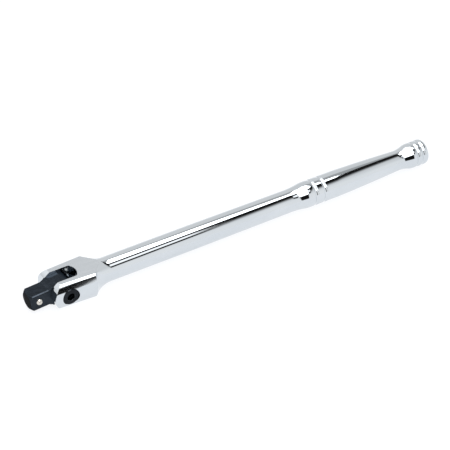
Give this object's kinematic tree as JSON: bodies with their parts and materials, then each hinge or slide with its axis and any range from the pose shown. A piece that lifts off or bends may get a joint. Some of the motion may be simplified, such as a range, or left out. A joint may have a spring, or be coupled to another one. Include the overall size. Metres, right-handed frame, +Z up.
{
  "type": "breaker bar",
  "caption": "Straight chromed lever with a forged fork at one end, in which a black square drive with a sprung ball swings on a cross screw.",
  "frame": {"origin": "the point on the surface that the tool lies on, under the middle of its length", "axes": "+X along the bar towards the knob, +Y along the hinge towards the ear that is tapped, +Z up, square to the fork's flats"},
  "size_m": [0.254, 0.0232, 0.0151],
  "materials": {
    "polished_chrome": "mirror chrome plate on a forged steel bar, satin on the fork's two flats",
    "black_oxide": "black oxide on hardened steel, lightly oiled, half gloss",
    "screw_black_oxide": "black oxide on alloy steel",
    "ball_steel": "ground and polished bearing steel",
    "spring_steel": "drawn spring wire"
  },
  "bodies": {
    "handle": {"handle_bar": "polished_chrome", "hinge_screw": "screw_black_oxide", "hold_spring": "spring_steel"},
    "head": {"drive_head": "black_oxide", "drive_ball_spring": "spring_steel"},
    "ball": {"drive_ball": "ball_steel"},
    "plunger": {"hold_plunger": "ball_steel"}
  },
  "joints": [
    {"name": "head_hinge", "type": "hinge", "parent": "handle", "child": "head", "pos_m": [-0.10637, 0, 0.00755], "axis": [0, 1, 0], "range_deg": [-91.3, 98.7]},
    {"name": "ball_travel", "type": "slide", "parent": "head", "child": "ball", "axis": [0, 1, 0], "range_m": [0, 0.00115], "stiffness_N_per_m": 1500, "springref_m": -0.0005, "deforming": ["drive_ball_spring"]},
    {"name": "plunger_travel", "type": "slide", "parent": "handle", "child": "plunger", "axis": [1, 0, 0], "range_m": [0, 0.0008], "stiffness_N_per_m": 1500, "springref_m": -0.0005, "deforming": ["hold_spring"]}
  ]
}
